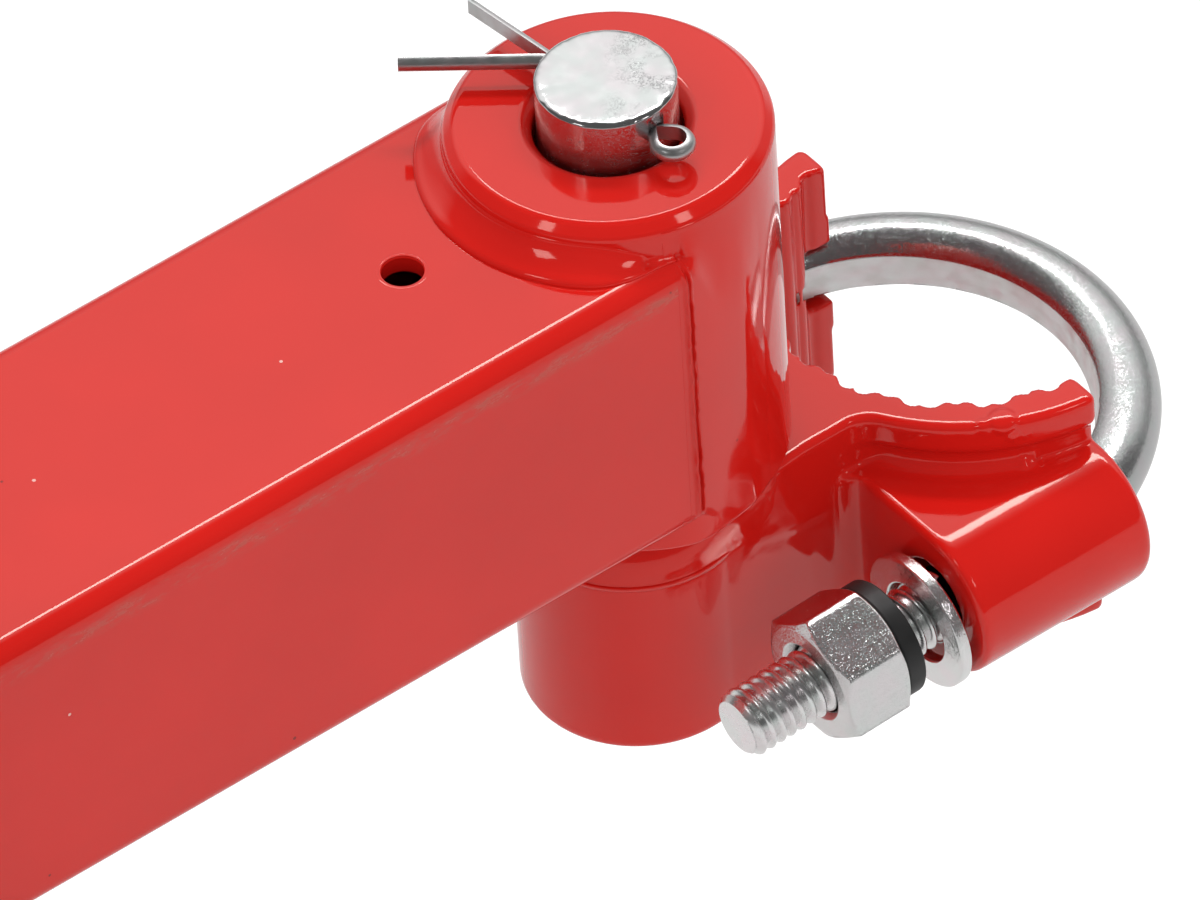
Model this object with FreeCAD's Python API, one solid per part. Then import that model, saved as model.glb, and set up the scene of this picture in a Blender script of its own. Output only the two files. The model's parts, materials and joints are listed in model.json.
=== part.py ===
import FreeCAD, Part
import math
import os

from FreeCAD import Rotation, Vector

# Driving dimensions in millimetres and degrees.
# The origin is the centre of the toothed saddle, where the pole stands, in the plane of the U-bolt.
# +X runs out along the arm, +Z runs up the pole, and the casting is the same on both sides of X.

# Pole clamp casting
saddle_radius = 28.5
tooth_depth = 1.25
tooth_pitch_deg = 10.2
teeth_per_side = 8
casting_half_height = 21.0
back_radius = 34.0
back_centre_x = -0.9
lip_height = 4.5
lip_slope_height = 1.5
lip_step = 1.0
horn_end_x = 1.6
horn_corner = 1.4
horn_inner_x = 4.0
horn_inner_y = 26.8
horn_inner_corner = 2.6
web_half_width = 15.3
web_root_half_width = 17.0
web_taper_length = 20.0
web_fillet = 5.0
casting_edge = 1.2
barrel_radius = 12.0
barrel_y = 33.5
barrel_pole_end_x = 1.4
barrel_nut_end_x = 32.0
barrel_pole_round = 1.8
barrel_nut_round = 1.0
saddle_foot_fillet = 2.2
saddle_foot_start_deg = 20.0
saddle_foot_end_deg = 69.0
lug_root_fillet = 4.0
leg_hole_radius = 6.4
horn_slot_depth_x = 6.2
horn_slot_half_height = 5.8

# Pivot: boss, pin and split pin
pivot_x = 59.4
boss_radius = 17.15
boss_foot_round = 1.5
boss_ring_z = 10.7
neck_radius = 13.0
neck_top_z = 24.2
relief_floor_radius = 19.0
relief_radius = 20.5
relief_wall_z = 14.5
pin_radius = 10.0
pin_top_z = 93.6
pin_chamfer = 1.0
close_fit_gap = 0.02
cross_hole_radius = 1.6
cross_hole_z = 89.4
cross_hole_turn_deg = 6.5
wire_radius = 1.25
eye_distance = 13.1
eye_apex_distance = 9.9
eye_inner_radius = 2.0
straight_leg_reach = 27.6
bent_leg_exit = 10.6
bent_leg_length = 19.8
bent_leg_turn_deg = 44.5

# U-bolt and what is screwed on it
rod_radius = 5.25
leg_y = 33.8
bend_centre_x = 13.7
bolt_droop_deg = 2.2
bolt_drop = 0.4
bend_flat_depth = 0.85
bend_flat_lean_deg = 13.5
thread_tip_x = 67.6
thread_chamfer = 0.8
nut_across_flats = 18.3
nut_near_x = 43.6
nut_height = 10.8
nut_face_inset = 0.2
nut_cone_deg = 30.0
nut_near_turn_deg = 5.8
nut_far_turn_deg = 21.0
ring_height = 3.0
ring_outer_radius = 9.0
washer_near_x = 33.6
washer_height = 2.0
washer_outer_radius = 10.5
washer_bore_radius = 6.3
loose_fit_gap = 0.25

# Arm and its sleeve
sleeve_radius = 23.2
sleeve_bore_radius = 10.6
sleeve_top_z = 86.0
sleeve_bottom_z = 24.4
sleeve_top_chamfer = 1.7
sleeve_bottom_chamfer = 1.0
sleeve_bore_chamfer = 1.5
tube_size = 50.0
tube_wall = 3.0
tube_corner = 3.2
tube_inner_corner = 1.0
tube_top_z = 79.0
tube_side_start = 5.5
arm_reach = 500.0
end_plate_thickness = 5.0
end_plate_inset = 2.5
vent_hole_radius = 3.1
vent_hole_from_pivot = 36.3
vent_hole_from_end = 36.0
weld_leg = 3.1
weld_crown_share = 0.58
weld_end_deg = 67.0
side_weld_run_out = 6.5
end_plate_weld_leg = 2.4
weld_gap = 0.02
fuse_depth = 0.5
same_place = 0.01

tube_bottom_z = tube_top_z - tube_size
pivot = Vector(pivot_x, 0, 0)
up = Vector(0, 0, 1)


def polar(radius, angle_deg, centre_x=0.0):
    angle = math.radians(angle_deg)
    return Vector(centre_x + radius * math.cos(angle), radius * math.sin(angle), 0)


def polygon(points):
    return Part.makePolygon(list(points) + [points[0]])


def arc(start, middle, end):
    return Part.Arc(start, middle, end).toShape()


def line(start, end):
    return Part.LineSegment(start, end).toShape()


def prism(edges, bottom_z, top_z):
    wire = Part.Wire(Part.__sortEdges__(edges))
    face = Part.Face(wire)
    face.translate(Vector(0, 0, bottom_z))
    return face.extrude(Vector(0, 0, top_z - bottom_z))


def turned(profile, axis_point, axis, angle_deg=360.0):
    """A solid turned from a closed wire about an axis."""
    return Part.Face(profile).revolve(axis_point, axis, angle_deg)


def turned_on_pivot(radius_and_height, angle_deg=360.0):
    points = [Vector(pivot_x + radius, 0, height) for radius, height in radius_and_height]
    return turned(polygon(points), pivot, up, angle_deg)


def mirrored(shape):
    return shape.mirror(Vector(0, 0, 0), Vector(0, 1, 0))


def mirrored_point(point):
    return Vector(point.x, -point.y, point.z)


def disc_ring(outer_radius, inner_radius, start_x, length, side, hang=0.0):
    """A plain ring round a leg of the U-bolt, hanging on it by the play in its bore."""
    base = Vector(start_x, side * leg_y, -hang)
    along = Vector(1, 0, 0)
    outer = Part.makeCylinder(outer_radius, length, base, along)
    return outer.cut(Part.makeCylinder(inner_radius, length, base, along))


def as_bolt_hangs(shape):
    """The loose U-bolt and what is on it droop towards the nuts within the play of the barrels."""
    shape.rotate(Vector(bend_centre_x, 0, 0), Vector(0, 1, 0), bolt_droop_deg)
    shape.translate(Vector(0, 0, -bolt_drop))
    return shape


# Pole clamp casting

def toothed_pole_space():
    """The space of the pole, bounded by alternate crests and hollows on the saddle's pitch circle."""
    half_pitch = tooth_pitch_deg / 2
    steps = 2 * teeth_per_side
    edges = []
    for step in range(-steps, steps):
        start = polar(saddle_radius, step * half_pitch)
        end = polar(saddle_radius, (step + 1) * half_pitch)
        # Crests stand in towards the pole, hollows lie back from it. A hollow is cut at mid-saddle.
        inward = ((step + 1) // 2) % 2 == 1
        reach = -tooth_depth / 2 if inward else tooth_depth / 2
        middle = polar(saddle_radius + reach, (step + 0.5) * half_pitch)
        edges.append(arc(start, middle, end))
    return edges


def saddle_cutter():
    edges = toothed_pole_space()
    end_angle = teeth_per_side * tooth_pitch_deg
    upper = polar(saddle_radius, end_angle)
    lower = polar(saddle_radius, -end_angle)
    far = -2 * saddle_radius
    edges.append(line(upper, Vector(far, upper.y, 0)))
    edges.append(line(Vector(far, upper.y, 0), Vector(far, lower.y, 0)))
    edges.append(line(Vector(far, lower.y, 0), lower))
    return prism(edges, -2 * casting_half_height, 2 * casting_half_height)


def plan_outline(step):
    """Outline of the web and the curved back of the saddle, seen from above, with the back set in by a step."""
    # The fillet between the web's flank and the back touches both of them.
    radius = back_radius - step
    fillet_y = web_half_width + web_fillet
    fillet_centre_distance = radius + web_fillet
    fillet_x = back_centre_x + math.sqrt(fillet_centre_distance ** 2 - fillet_y ** 2)
    fillet_centre = Vector(fillet_x, fillet_y, 0)
    back_centre = Vector(back_centre_x, 0, 0)
    on_flank = Vector(fillet_x, web_half_width, 0)
    on_back = back_centre + (fillet_centre - back_centre) * (radius / fillet_centre_distance)
    halfway = (on_flank + on_back) * 0.5 - fillet_centre
    fillet_middle = fillet_centre + halfway.normalize() * web_fillet
    # The horn's end is square with a small outer and a larger inner corner.
    horn_start_x = horn_end_x + horn_corner
    horn_start_y = math.sqrt(radius ** 2 - (horn_start_x - back_centre_x) ** 2)
    horn_start = Vector(horn_start_x, horn_start_y, 0)
    back_middle = back_centre + ((on_back + horn_start) * 0.5 - back_centre).normalize() * radius
    bulge = math.sqrt(0.5)
    outer_middle = horn_start + Vector(-bulge, bulge - 1, 0) * horn_corner
    end_top = horn_start + Vector(-horn_corner, -horn_corner, 0)
    horn_inner = Vector(horn_inner_x, horn_inner_y, 0)
    end_bottom = Vector(horn_end_x, horn_inner_y + horn_inner_corner, 0)
    inner_reach = horn_inner_x - horn_end_x
    inner_middle = horn_inner + Vector(-inner_reach * bulge, horn_inner_corner * (1 - bulge), 0)
    root = Vector(pivot_x, web_root_half_width, 0)
    taper_end = Vector(pivot_x - web_taper_length, web_half_width, 0)
    upper = [
        line(root, taper_end),
        line(taper_end, on_flank),
        arc(on_flank, fillet_middle, on_back),
        arc(on_back, back_middle, horn_start),
        arc(horn_start, outer_middle, end_top),
        line(end_top, end_bottom),
        arc(end_bottom, inner_middle, horn_inner),
    ]
    lower = [mirrored(edge) for edge in upper]
    inner = line(horn_inner, mirrored_point(horn_inner))
    return upper + lower + [inner, line(root, mirrored_point(root))]


def outline_wire(step, height):
    wire = Part.Wire(Part.__sortEdges__(plan_outline(step)))
    wire.translate(Vector(0, 0, height))
    return wire


def rounded_edges(shape, radius, wanted):
    edges = [edge for edge in shape.Edges if wanted(edge)]
    return shape.makeFillet(radius, edges)


def on_outer_rim(edge):
    """Edges of the top face, apart from the two that later cuts remove."""
    box = edge.BoundBox
    level = box.ZLength < same_place and abs(box.ZMin - casting_half_height) < same_place
    inner = box.XMax < horn_inner_x + same_place and box.YLength > horn_inner_y
    root = box.XMin > pivot_x - same_place
    return level and not inner and not root


def saddle_and_web():
    """The web and the saddle's back: a plain core between an upper and a lower lip."""
    lip_z = casting_half_height - lip_height
    core_z = lip_z - lip_slope_height
    lip = rounded_edges(prism(plan_outline(0), lip_z, casting_half_height), casting_edge, on_outer_rim)
    slope = Part.makeLoft([outline_wire(lip_step, core_z), outline_wire(0, lip_z)], True, True)
    middle = Vector(0, 0, 0)
    pieces = [lip, slope, lip.mirror(middle, up), slope.mirror(middle, up)]
    return prism(plan_outline(lip_step), -core_z, core_z).fuse(pieces).removeSplitter()


def lug_bar():
    """Long round-ended bar across the casting that forms the two barrels and the lugs that carry them."""
    start = barrel_pole_end_x

    def at(y, z):
        return Vector(start, y, z)

    profile = Part.Wire([
        line(at(-barrel_y, barrel_radius), at(barrel_y, barrel_radius)),
        arc(at(barrel_y, barrel_radius), at(barrel_y + barrel_radius, 0), at(barrel_y, -barrel_radius)),
        line(at(barrel_y, -barrel_radius), at(-barrel_y, -barrel_radius)),
        arc(at(-barrel_y, -barrel_radius), at(-barrel_y - barrel_radius, 0), at(-barrel_y, barrel_radius)),
    ])
    bar = Part.Face(profile).extrude(Vector(barrel_nut_end_x - start, 0, 0))
    bar = rounded_edges(bar, barrel_pole_round, lambda edge: edge.BoundBox.XMax < start + same_place)
    nut_end = barrel_nut_end_x - same_place
    return rounded_edges(bar, barrel_nut_round, lambda edge: edge.BoundBox.XMin > nut_end)


def saddle_foot():
    """Hollow fillet where the saddle's curved back stands on the flat of the bar, on one side."""
    wall = back_radius - lip_step
    toe = wall + saddle_foot_fillet
    top_z = barrel_radius + saddle_foot_fillet
    hollow = saddle_foot_fillet * (1 - math.sqrt(0.5))

    def at(radius, height):
        return Vector(back_centre_x + radius, 0, height)

    profile = Part.Wire([
        line(at(wall - fuse_depth, barrel_radius - fuse_depth), at(toe, barrel_radius - fuse_depth)),
        line(at(toe, barrel_radius - fuse_depth), at(toe, barrel_radius)),
        arc(at(toe, barrel_radius), at(wall + hollow, barrel_radius + hollow), at(wall, top_z)),
        line(at(wall, top_z), at(wall - fuse_depth, top_z)),
        line(at(wall - fuse_depth, top_z), at(wall - fuse_depth, barrel_radius - fuse_depth)),
    ])
    back_centre = Vector(back_centre_x, 0, 0)
    ring = turned(profile, back_centre, up, saddle_foot_end_deg - saddle_foot_start_deg)
    ring.rotate(back_centre, up, saddle_foot_start_deg)
    return ring


def lug_root_wire(fillet, height):
    """Plan of the hollow corner between the bar's nut end and the web's flank."""
    hollow = fillet * (1 - math.sqrt(0.5))

    def at(out, aside):
        return Vector(barrel_nut_end_x + out, web_half_width + aside, height)

    return Part.Wire([
        line(at(-fuse_depth, -fuse_depth), at(fillet, -fuse_depth)),
        line(at(fillet, -fuse_depth), at(fillet, 0)),
        arc(at(fillet, 0), at(hollow, hollow), at(0, fillet)),
        line(at(0, fillet), at(-fuse_depth, fillet)),
        line(at(-fuse_depth, fillet), at(-fuse_depth, -fuse_depth)),
    ])


def lug_root():
    """The hollow corner beside one lug, drawn in like the rounded edges of the bar at both ends."""
    full_z = barrel_radius - barrel_nut_round
    middle = Part.Face(lug_root_wire(lug_root_fillet, -full_z)).extrude(up * (2 * full_z))
    full_wire = lug_root_wire(lug_root_fillet, full_z)
    end_wire = lug_root_wire(lug_root_fillet - barrel_nut_round, barrel_radius)
    end = Part.makeLoft([full_wire, end_wire], True, True)
    return middle.fuse([end, end.mirror(Vector(0, 0, 0), up)])


def boss():
    """Round foot of the pivot: a rounded lower edge, a sloped shoulder and a neck under the sleeve."""
    low = -casting_half_height
    foot = boss_foot_round
    shoulder_z = boss_ring_z + boss_radius - neck_radius
    diagonal = math.sqrt(0.5)

    def at(radius, height):
        return Vector(pivot_x + radius, 0, height)

    foot_middle = at(boss_radius - foot * (1 - diagonal), low + foot * (1 - diagonal))
    outline = [at(boss_radius, low + foot), at(boss_radius, boss_ring_z), at(neck_radius, shoulder_z),
               at(neck_radius, neck_top_z), at(0, neck_top_z), at(0, low), at(boss_radius - foot, low)]
    edges = [line(first, second) for first, second in zip(outline, outline[1:])]
    edges.append(arc(at(boss_radius - foot, low), foot_middle, at(boss_radius, low + foot)))
    return turned(Part.Wire(Part.__sortEdges__(edges)), pivot, up)


def sleeve_relief():
    """Groove in the web round the neck, which leaves the boss's shoulder free under the sleeve."""
    above_z = neck_top_z + fuse_depth
    shoulder_z = boss_ring_z + boss_radius - neck_radius
    return turned_on_pivot([(neck_radius, above_z), (neck_radius, shoulder_z), (boss_radius, boss_ring_z),
                            (relief_floor_radius, boss_ring_z), (relief_radius, relief_wall_z),
                            (relief_radius, above_z)])


def horn_slot(side):
    """Gap between the upper and lower horn where the leg of the U-bolt leaves its barrel."""
    depth = horn_slot_depth_x - barrel_pole_end_x + tooth_depth
    base = Vector(horn_slot_depth_x - depth, side * barrel_y, 0)
    bore = Part.makeCylinder(horn_slot_half_height, depth, base, Vector(1, 0, 0))
    inward = saddle_radius / 2
    low_y = barrel_y - inward if side > 0 else -barrel_y
    height = 2 * horn_slot_half_height
    box = Part.makeBox(depth, inward, height, Vector(base.x, low_y, -horn_slot_half_height))
    return bore.fuse(box)


def clamp_casting():
    body = saddle_and_web().fuse(lug_bar()).cut(sleeve_relief()).removeSplitter()
    near_feet = [saddle_foot(), saddle_foot().mirror(Vector(0, 0, 0), up)]
    near_pieces = near_feet + [lug_root()]
    far_pieces = [mirrored(piece) for piece in near_pieces]
    solid = body.fuse(near_pieces + far_pieces + [boss()])
    hole_start = barrel_pole_end_x - saddle_radius
    hole_length = barrel_nut_end_x - hole_start + tooth_depth
    cuts = [saddle_cutter()]
    for side in (1, -1):
        base = Vector(hole_start, side * barrel_y, 0)
        cuts.append(Part.makeCylinder(leg_hole_radius, hole_length, base, Vector(1, 0, 0)))
        cuts.append(horn_slot(side))
    seat_radius = pin_radius + close_fit_gap
    seat_base = Vector(pivot_x, 0, -2 * casting_half_height)
    cuts.append(Part.makeCylinder(seat_radius, 4 * casting_half_height, seat_base, up))
    return solid.cut(cuts).removeSplitter()


# Pivot pin and split pin

def cross_hole_axis():
    """Direction of the split pin's eye, a little off the side of the arm."""
    return Rotation(up, cross_hole_turn_deg).multVec(Vector(0, 1, 0))


def pivot_pin():
    low = -casting_half_height
    inner = pin_radius - pin_chamfer
    body = turned_on_pivot([(0, low), (inner, low), (pin_radius, low + pin_chamfer),
                            (pin_radius, pin_top_z - pin_chamfer), (inner, pin_top_z), (0, pin_top_z)])
    eye_way = cross_hole_axis()
    start = Vector(pivot_x, 0, cross_hole_z) - eye_way * (2 * pin_radius)
    return body.cut(Part.makeCylinder(cross_hole_radius, 4 * pin_radius, start, eye_way))


def half_round(centre, flat_direction, side):
    """Half-disc section of the split pin's wire, standing on a plane through its centre."""
    top = centre + up * wire_radius
    bottom = centre - up * wire_radius
    crown = centre + flat_direction * (side * wire_radius)
    return Part.Face(Part.Wire([arc(top, crown, bottom), line(bottom, top)]))


def split_pin():
    """Two half-round legs through the pivot pin, one straight and one bent, joined by a drop-shaped eye."""
    eye_way = cross_hole_axis()
    across = eye_way.cross(up)
    centre = Vector(pivot_x, 0, cross_hole_z)
    apex = centre + eye_way * eye_apex_distance
    straight = half_round(apex, across, -1).extrude(eye_way * -(straight_leg_reach + eye_apex_distance))
    exit_point = centre - eye_way * bent_leg_exit
    inside = half_round(apex, across, 1).extrude(exit_point - apex)
    turn = half_round(exit_point, across, 1)
    bend_axis = exit_point + across * (2 * wire_radius)
    bend = turn.revolve(bend_axis, up, bent_leg_turn_deg)
    spin = Rotation(up, bent_leg_turn_deg)
    bent_start = bend_axis + spin.multVec(exit_point - bend_axis)
    bent_across = spin.multVec(across)
    bent_way = spin.multVec(eye_way * -1)
    bent = half_round(bent_start, bent_across, 1).extrude(bent_way * bent_leg_length)
    return straight.fuse([inside, bend, bent] + split_pin_eye(apex, eye_way, across)).removeSplitter()


def split_pin_eye(apex, eye_way, across):
    """Two strands that spread from the mouth of the cross hole and the round bend between them."""
    depth = eye_distance - eye_apex_distance
    eye_centre = apex + eye_way * depth
    spread = math.asin(eye_inner_radius / depth)
    spread_deg = math.degrees(spread)
    strand_length = depth * math.cos(spread)
    pieces = []
    for side in (-1, 1):
        lean = Rotation(up, -side * spread_deg)
        strand_way = lean.multVec(eye_way) * strand_length
        strand_across = lean.multVec(across)
        pieces.append(half_round(apex, strand_across, side).extrude(strand_way))
    round_start = half_round(apex + strand_way, strand_across, side)
    pieces.append(round_start.revolve(eye_centre, up, 180 + 2 * spread_deg))
    return pieces


# U-bolt with its nuts, lock rings and washers

def u_bolt():
    """Round rod bent to a half circle, pressed flat along the inside of the bend."""
    near_tip = Vector(thread_tip_x, leg_y, 0)
    far_tip = Vector(thread_tip_x, -leg_y, 0)
    near_bend = Vector(bend_centre_x, leg_y, 0)
    far_bend = Vector(bend_centre_x, -leg_y, 0)
    crown = Vector(bend_centre_x - leg_y, 0, 0)
    path = Part.Wire([line(near_tip, near_bend), arc(near_bend, crown, far_bend), line(far_bend, far_tip)])
    section = Part.Wire(Part.makeCircle(rod_radius, near_tip, Vector(-1, 0, 0)))
    rod = path.makePipeShell([section], True, True)
    flat_radius = leg_y - rod_radius + bend_flat_depth
    flat_height = 2 * leg_y
    flat_base = Vector(bend_centre_x, 0, -flat_height / 2)
    flat = Part.makeCylinder(flat_radius, flat_height, flat_base, up, 180)
    flat.rotate(flat_base, up, 90)
    flat.rotate(Vector(bend_centre_x, 0, 0), Vector(1, 0, 0), -bend_flat_lean_deg)
    rod = rod.cut(flat)

    def is_tip(edge):
        return edge.BoundBox.XMin > thread_tip_x - same_place

    return as_bolt_hangs(rod.makeChamfer(thread_chamfer, [edge for edge in rod.Edges if is_tip(edge)]))


def hex_nut(side):
    """Six flats with both ends turned to a shallow cone."""
    corner_radius = nut_across_flats / math.sqrt(3)
    turn = nut_near_turn_deg if side > 0 else nut_far_turn_deg
    angles = [math.radians(60 * corner + 30 + turn) for corner in range(6)]
    corners = [Vector(nut_near_x, corner_radius * math.cos(a), corner_radius * math.sin(a)) for a in angles]
    block = Part.Face(polygon(corners)).extrude(Vector(nut_height, 0, 0))
    face_radius = nut_across_flats / 2 - nut_face_inset
    drop = (corner_radius - face_radius) * math.tan(math.radians(nut_cone_deg))
    far_x = nut_near_x + nut_height
    cone = polygon([Vector(nut_near_x, 0, 0), Vector(nut_near_x, face_radius, 0),
                    Vector(nut_near_x + drop, corner_radius, 0), Vector(far_x - drop, corner_radius, 0),
                    Vector(far_x, face_radius, 0), Vector(far_x, 0, 0)])
    block = block.common(turned(cone, Vector(0, 0, 0), Vector(1, 0, 0)))
    bore_radius = rod_radius + close_fit_gap
    bore = Part.makeCylinder(bore_radius, nut_height, Vector(nut_near_x, 0, 0), Vector(1, 0, 0))
    block = block.cut(bore)
    block.translate(Vector(0, side * leg_y, 0))
    return as_bolt_hangs(block)


def lock_ring(side):
    start = nut_near_x - ring_height
    return as_bolt_hangs(disc_ring(ring_outer_radius, rod_radius + loose_fit_gap, start, ring_height, side))


def flat_washer(side):
    hang = washer_bore_radius - rod_radius - close_fit_gap
    return as_bolt_hangs(disc_ring(washer_outer_radius, washer_bore_radius, washer_near_x, washer_height,
                                   side, hang))


# Arm with its pivot sleeve, welds and end plate

def pivot_sleeve():
    bore = sleeve_bore_radius
    outer = sleeve_radius
    nick = sleeve_bore_chamfer
    low = sleeve_bottom_z
    top = sleeve_top_z
    return turned_on_pivot([
        (bore, low + nick), (bore + nick, low), (outer - sleeve_bottom_chamfer, low),
        (outer, low + sleeve_bottom_chamfer), (outer, top - sleeve_top_chamfer),
        (outer - sleeve_top_chamfer, top), (bore + nick, top), (bore, top - nick)])


def rounded_square(half, corner, x):
    """Square section with round corners, standing across the arm."""
    middle_z = (tube_top_z + tube_bottom_z) / 2
    straight = half - corner
    diagonal = corner * math.sqrt(0.5)
    edges = []
    for quarter in range(4):
        turn = Rotation(Vector(1, 0, 0), 90 * quarter)
        points = [Vector(0, half, -straight), Vector(0, half, straight),
                  Vector(0, straight + diagonal, straight + diagonal), Vector(0, straight, half)]
        placed = [turn.multVec(point) + Vector(x, 0, middle_z) for point in points]
        edges.append(line(placed[0], placed[1]))
        edges.append(arc(placed[1], placed[2], placed[3]))
    return Part.Face(Part.Wire(Part.__sortEdges__(edges)))


def arm_tube():
    start_x = pivot_x + tube_side_start
    end_x = pivot_x + arm_reach - end_plate_thickness
    length = Vector(end_x - start_x, 0, 0)
    outer = rounded_square(tube_size / 2, tube_corner, start_x).extrude(length)
    inner = rounded_square(tube_size / 2 - tube_wall, tube_inner_corner, start_x).extrude(length)
    cope_base = Vector(pivot_x, 0, 0)
    cope = Part.makeCylinder(sleeve_radius + weld_gap, 2 * tube_top_z, cope_base, up)
    tube = outer.cut([inner, cope])
    for hole_x in (pivot_x + vent_hole_from_pivot, pivot_x + arm_reach - vent_hole_from_end):
        base = Vector(hole_x, 0, tube_top_z - 2 * tube_wall)
        tube = tube.cut(Part.makeCylinder(vent_hole_radius, 3 * tube_wall, base, up))
    return tube


def collar_weld(level, direction):
    """Fillet bead round the sleeve on the top or the bottom of the tube."""
    inner = sleeve_radius + weld_gap
    face = level + direction * weld_gap
    bulge = weld_leg * weld_crown_share
    toe = Vector(pivot_x + inner + weld_leg, 0, face)
    crown = Vector(pivot_x + inner + bulge, 0, face + direction * bulge)
    heel = Vector(pivot_x + inner, 0, face + direction * weld_leg)
    corner = Vector(pivot_x + inner, 0, face)
    profile = Part.Wire([arc(toe, crown, heel), line(heel, corner), line(corner, toe)])
    bead = turned(profile, pivot, up, 2 * weld_end_deg)
    bead.rotate(pivot, up, -weld_end_deg)
    return bead


def side_weld_run_out_cut(edge_z, direction):
    """What a slanted end takes off the side weld, so that it thins out past a corner of the tube."""
    outer_y = tube_size / 2
    thin_y = math.sqrt(sleeve_radius ** 2 - tube_side_start ** 2)
    end_z = edge_z + direction * side_weld_run_out
    far_x = pivot_x - sleeve_radius
    wedge = polygon([Vector(far_x, outer_y + fuse_depth, edge_z), Vector(far_x, outer_y, edge_z),
                     Vector(far_x, thin_y, end_z), Vector(far_x, 0, end_z + direction * same_place),
                     Vector(far_x, 0, edge_z + 2 * direction * side_weld_run_out),
                     Vector(far_x, outer_y + fuse_depth, edge_z + 2 * direction * side_weld_run_out)])
    return Part.Face(wedge).extrude(Vector(2 * sleeve_radius, 0, 0))


def side_weld():
    """Flush fill that closes the corner between the tube's end and the sleeve, and thins out past the tube."""
    inner = sleeve_radius + weld_gap
    half = tube_size / 2
    corner_angle = math.degrees(math.atan2(half, tube_side_start))
    corner_distance = math.hypot(tube_side_start, half)
    tangent_angle = corner_angle + math.degrees(math.acos(inner / corner_distance))
    wall_angle = math.degrees(math.acos((tube_side_start - weld_gap) / inner))
    outer_corner = Vector(pivot_x + tube_side_start - weld_gap, half, 0)
    inner_corner = polar(inner, wall_angle, pivot_x)
    tangent = polar(inner, tangent_angle, pivot_x)
    middle = polar(inner, (wall_angle + tangent_angle) / 2, pivot_x)
    low = tube_bottom_z + tube_corner
    high = tube_top_z - tube_corner
    fill = prism([line(inner_corner, outer_corner), line(outer_corner, tangent), arc(tangent, middle, inner_corner)],
                 low - side_weld_run_out, high + side_weld_run_out)
    return fill.cut([side_weld_run_out_cut(low, -1), side_weld_run_out_cut(high, 1)])


def arm_end_plate():
    face = rounded_square(tube_size / 2 - end_plate_inset, tube_inner_corner, pivot_x + arm_reach)
    return face.extrude(Vector(-end_plate_thickness + weld_gap, 0, 0))


def end_plate_weld():
    """Bead round the rim of the end plate, lying on the end of the tube."""
    end_x = pivot_x + arm_reach - end_plate_thickness + weld_gap
    plate_half = tube_size / 2 - end_plate_inset + weld_gap
    outer = rounded_square(plate_half + end_plate_weld_leg, tube_corner, end_x)
    crown = rounded_square(plate_half + end_plate_weld_leg / 2, tube_corner, end_x + end_plate_weld_leg)
    bead = Part.makeLoft([outer.OuterWire, crown.OuterWire], True, True)
    opening = rounded_square(plate_half, tube_inner_corner, end_x)
    return bead.cut(opening.extrude(Vector(end_plate_thickness, 0, 0)))


os.makedirs("parts", exist_ok=True)
near_weld = side_weld()
nodes = {
    "clamp_casting": clamp_casting(),
    "pivot_pin": pivot_pin(),
    "split_pin": split_pin(),
    "u_bolt": u_bolt(),
    "arm_tube": arm_tube(),
    "pivot_sleeve": pivot_sleeve(),
    "sleeve_weld_top": collar_weld(tube_top_z, 1),
    "sleeve_weld_bottom": collar_weld(tube_bottom_z, -1),
    "sleeve_weld_near": near_weld,
    "sleeve_weld_far": mirrored(near_weld),
    "arm_end_plate": arm_end_plate(),
    "end_plate_weld": end_plate_weld(),
}
for side_name, side in (("near", 1), ("far", -1)):
    nodes["u_bolt_nut_" + side_name] = hex_nut(side)
    nodes["lock_ring_" + side_name] = lock_ring(side)
    nodes["flat_washer_" + side_name] = flat_washer(side)

for name, shape in nodes.items():
    solid_count = len(shape.Solids)
    print(name, "solids", solid_count, "valid", shape.isValid(), "volume", round(shape.Volume))
    shape.exportStep("parts/" + name + ".step")
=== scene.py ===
import json
import math

import bmesh
import bpy
from mathutils import Matrix, Vector, noise


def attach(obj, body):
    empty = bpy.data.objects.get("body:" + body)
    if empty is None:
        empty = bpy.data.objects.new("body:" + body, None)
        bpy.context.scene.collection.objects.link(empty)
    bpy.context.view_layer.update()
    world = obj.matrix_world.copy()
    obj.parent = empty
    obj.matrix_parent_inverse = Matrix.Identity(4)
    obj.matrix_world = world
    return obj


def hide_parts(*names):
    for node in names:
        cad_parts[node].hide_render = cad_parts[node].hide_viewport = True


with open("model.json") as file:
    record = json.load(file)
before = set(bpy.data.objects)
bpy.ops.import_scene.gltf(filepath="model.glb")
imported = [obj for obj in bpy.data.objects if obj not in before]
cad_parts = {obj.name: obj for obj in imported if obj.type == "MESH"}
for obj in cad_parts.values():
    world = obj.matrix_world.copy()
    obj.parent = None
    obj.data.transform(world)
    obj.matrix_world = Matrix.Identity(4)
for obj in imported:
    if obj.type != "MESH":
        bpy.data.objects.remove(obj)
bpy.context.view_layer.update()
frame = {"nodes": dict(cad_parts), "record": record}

cad = frame["nodes"]


# Clamp casting
# One iron casting: pivot boss, web, toothed saddle and the two barrels for the U-bolt. Its thick red powder
# coat rounds every edge, leaves a small ledge round the boss's shoulder and blisters in places on the lip.

def feed(tree, node, values):
    """Gives input sockets of a node a plain value each, or the output of another node."""
    for socket, value in values.items():
        if isinstance(value, bpy.types.NodeSocket):
            tree.links.new(value, node.inputs[socket])
        else:
            node.inputs[socket].default_value = value


def put(tree, kind, values, **settings):
    """A new node with its settings and with what feeds its input sockets."""
    node = tree.nodes.new(kind)
    for name, value in settings.items():
        setattr(node, name, value)
    feed(tree, node, values)
    return node


def reckon(tree, operation, *values):
    """The output of a calculation with plain values and outputs."""
    return put(tree, "ShaderNodeMath", dict(enumerate(values)), operation=operation).outputs["Value"]


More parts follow.
